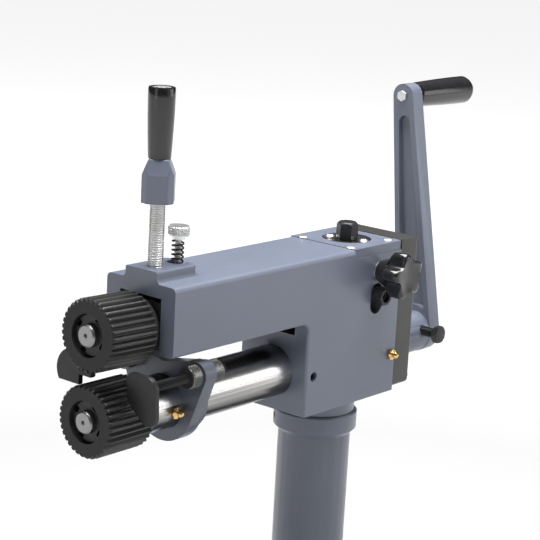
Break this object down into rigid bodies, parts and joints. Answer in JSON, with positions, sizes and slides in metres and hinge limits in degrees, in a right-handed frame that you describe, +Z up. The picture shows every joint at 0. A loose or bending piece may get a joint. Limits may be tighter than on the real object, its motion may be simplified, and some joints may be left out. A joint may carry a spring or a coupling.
{
  "type": "bead roller",
  "caption": "Hand-cranked bead roller: geared shafts with crimping rolls in a cast C frame, pressure screw, lift spring and edge guides, on a bench pedestal.",
  "frame": {"origin": "centre of the foot's underside, on the column's axis", "axes": "+Z up the column; +X along the shafts from the rolls to the crank; -Y is the side with the star knob"},
  "size_m": [0.5744, 0.24, 0.5726],
  "materials": {
    "frame_enamel": "gloss",
    "housing_black": "satin",
    "cover_enamel": "gloss",
    "polished_steel": "polished",
    "ground_steel": "ground",
    "dark_steel": "black oxide",
    "zinc_steel": "zinc plated",
    "roll_steel": "ground tool steel",
    "gear_steel": "machined",
    "bronze": "machined",
    "nipple_brass": "plated",
    "black_plastic": "moulded"
  },
  "bodies": {
    "stand": {"stand_foot": "frame_enamel", "stand_column": "frame_enamel", "column_lock_screws": "dark_steel"},
    "frame": {"frame_casting": "frame_enamel", "lower_tube": "polished_steel", "lower_bushes": "bronze", "tube_set_screw": "dark_steel", "grease_nipples": "nipple_brass", "pivot_block": "ground_steel", "pivot_screws": "dark_steel", "pivot_nuts": "dark_steel", "gear_cover": "cover_enamel", "gear_cover_screws": "dark_steel", "cover_bush": "bronze", "top_plate": "frame_enamel", "top_plate_screws": "zinc_steel", "spindle_flange": "dark_steel", "spindle_flange_screws": "zinc_steel", "star_knob_washer": "zinc_steel", "lift_spring": "dark_steel"},
    "adjusting_spindle": {"adjusting_spindle": "dark_steel"},
    "star_knob": {"star_knob": "black_plastic", "star_knob_stud": "zinc_steel"},
    "lower_train": {"lower_shaft": "ground_steel", "lower_roll": "roll_steel", "lower_locknut": "dark_steel", "lower_roll_key": "ground_steel", "lower_gear": "gear_steel", "crank_arm": "frame_enamel", "crank_clamp_bolt": "dark_steel", "grip_axle": "zinc_steel"},
    "grip": {"crank_grip": "black_plastic"},
    "upper_housing": {"upper_housing": "housing_black", "upper_bushes": "bronze"},
    "upper_train": {"upper_shaft": "ground_steel", "upper_roll": "roll_steel", "upper_locknut": "dark_steel", "upper_roll_key": "ground_steel", "upper_gear": "gear_steel"},
    "pressure_foot": {"pressure_foot": "ground_steel"},
    "pressure_screw": {"pressure_screw": "zinc_steel", "pressure_hub": "frame_enamel", "pressure_handle": "black_plastic"},
    "lift_collar": {"lift_collar": "zinc_steel"},
    "lift_screw": {"lift_screw": "zinc_steel"},
    "guide_bracket": {"guide_bracket": "frame_enamel", "bracket_lock_screw": "dark_steel"},
    "near_guide": {"near_guide_rod": "dark_steel", "near_guide_disc": "dark_steel"},
    "far_guide": {"far_guide_rod": "dark_steel", "far_guide_disc": "dark_steel"},
    "near_front_nut": {"near_front_nut": "dark_steel"},
    "near_rear_nut": {"near_rear_nut": "dark_steel"},
    "far_front_nut": {"far_front_nut": "dark_steel"},
    "far_rear_nut": {"far_rear_nut": "dark_steel"}
  },
  "joints": [
    {"name": "head_swivel", "type": "hinge", "parent": "stand", "child": "frame", "pos_m": [0, 0, 0.251], "axis": [0, 0, 1], "range_deg": [-180, 180]},
    {"name": "crank_turn", "type": "hinge", "parent": "frame", "child": "lower_train", "pos_m": [0, 0, 0.3], "axis": [1, 0, 0], "continuous": true},
    {"name": "grip_spin", "type": "hinge", "parent": "lower_train", "child": "grip", "pos_m": [0.2, 0.03285, 0.53673], "axis": [1, 0, 0], "continuous": true},
    {"name": "housing_rock", "type": "hinge", "parent": "frame", "child": "upper_housing", "pos_m": [0.0325, 0, 0.364], "axis": [0, 1, 0], "range_deg": [-1.66, 0.5], "deforming": ["lift_spring"]},
    {"name": "upper_spin", "type": "hinge", "parent": "upper_housing", "child": "upper_train", "pos_m": [0.0325, 0, 0.364], "axis": [0.9996, 0, -0.029], "continuous": true},
    {"name": "pressure_feed", "type": "slide", "parent": "frame", "child": "pressure_foot", "axis": [0, 0, 1], "range_m": [-0.0076, 0.00229]},
    {"name": "pressure_turn", "type": "hinge", "parent": "pressure_foot", "child": "pressure_screw", "pos_m": [-0.23, 0, 0.45], "axis": [0, 0, 1], "range_deg": [-1372, 414]},
    {"name": "lift_feed", "type": "slide", "parent": "upper_housing", "child": "lift_collar", "axis": [0.029, 0, 0.9996], "range_m": [-0.00075, 0.002], "deforming": ["lift_spring"]},
    {"name": "lift_turn", "type": "hinge", "parent": "lift_collar", "child": "lift_screw", "pos_m": [-0.20386, 0, 0.40686], "axis": [0.029, 0, 0.9996], "range_deg": [-272, 722]},
    {"name": "adjuster_turn", "type": "hinge", "parent": "frame", "child": "adjusting_spindle", "pos_m": [0.0325, 0, 0.41], "axis": [0, 0, 1], "range_deg": [-180, 180]},
    {"name": "star_knob_turn", "type": "hinge", "parent": "frame", "child": "star_knob", "pos_m": [0.034, -0.05, 0.3875], "axis": [0, 1, 0], "range_deg": [-180, 180]},
    {"name": "bracket_slide", "type": "slide", "parent": "frame", "child": "guide_bracket", "axis": [1, 0, 0], "range_m": [-0.001, 0.07]},
    {"name": "near_guide_slide", "type": "slide", "parent": "guide_bracket", "child": "near_guide", "axis": [1, 0, 0], "range_m": [-0.01, 0.02]},
    {"name": "near_front_nut_turn", "type": "hinge", "parent": "guide_bracket", "child": "near_front_nut", "pos_m": [-0.221, -0.038, 0.3315], "axis": [1, 0, 0], "range_deg": [-5764, 2884]},
    {"name": "near_rear_nut_turn", "type": "hinge", "parent": "guide_bracket", "child": "near_rear_nut", "pos_m": [-0.195, -0.038, 0.3315], "axis": [1, 0, 0], "range_deg": [-5764, 2884]},
    {"name": "far_guide_slide", "type": "slide", "parent": "guide_bracket", "child": "far_guide", "axis": [1, 0, 0], "range_m": [-0.01, 0.02]},
    {"name": "far_front_nut_turn", "type": "hinge", "parent": "guide_bracket", "child": "far_front_nut", "pos_m": [-0.221, 0.038, 0.3315], "axis": [1, 0, 0], "range_deg": [-5764, 2884]},
    {"name": "far_rear_nut_turn", "type": "hinge", "parent": "guide_bracket", "child": "far_rear_nut", "pos_m": [-0.195, 0.038, 0.3315], "axis": [1, 0, 0], "range_deg": [-5764, 2884]}
  ],
  "couplings": [
    {"joint": "upper_spin", "follows": "crank_turn", "ratio": -1},
    {"joint": "pressure_turn", "follows": "pressure_feed", "rad_per_m": 3141.6},
    {"joint": "housing_rock", "follows": "pressure_feed", "rad_per_m": 3.8085},
    {"joint": "lift_turn", "follows": "lift_feed", "rad_per_m": 6283.2},
    {"joint": "near_front_nut_turn", "follows": "near_guide_slide", "rad_per_m": -5026.5},
    {"joint": "near_rear_nut_turn", "follows": "near_guide_slide", "rad_per_m": -5026.5},
    {"joint": "far_front_nut_turn", "follows": "far_guide_slide", "rad_per_m": -5026.5},
    {"joint": "far_rear_nut_turn", "follows": "far_guide_slide", "rad_per_m": -5026.5}
  ]
}
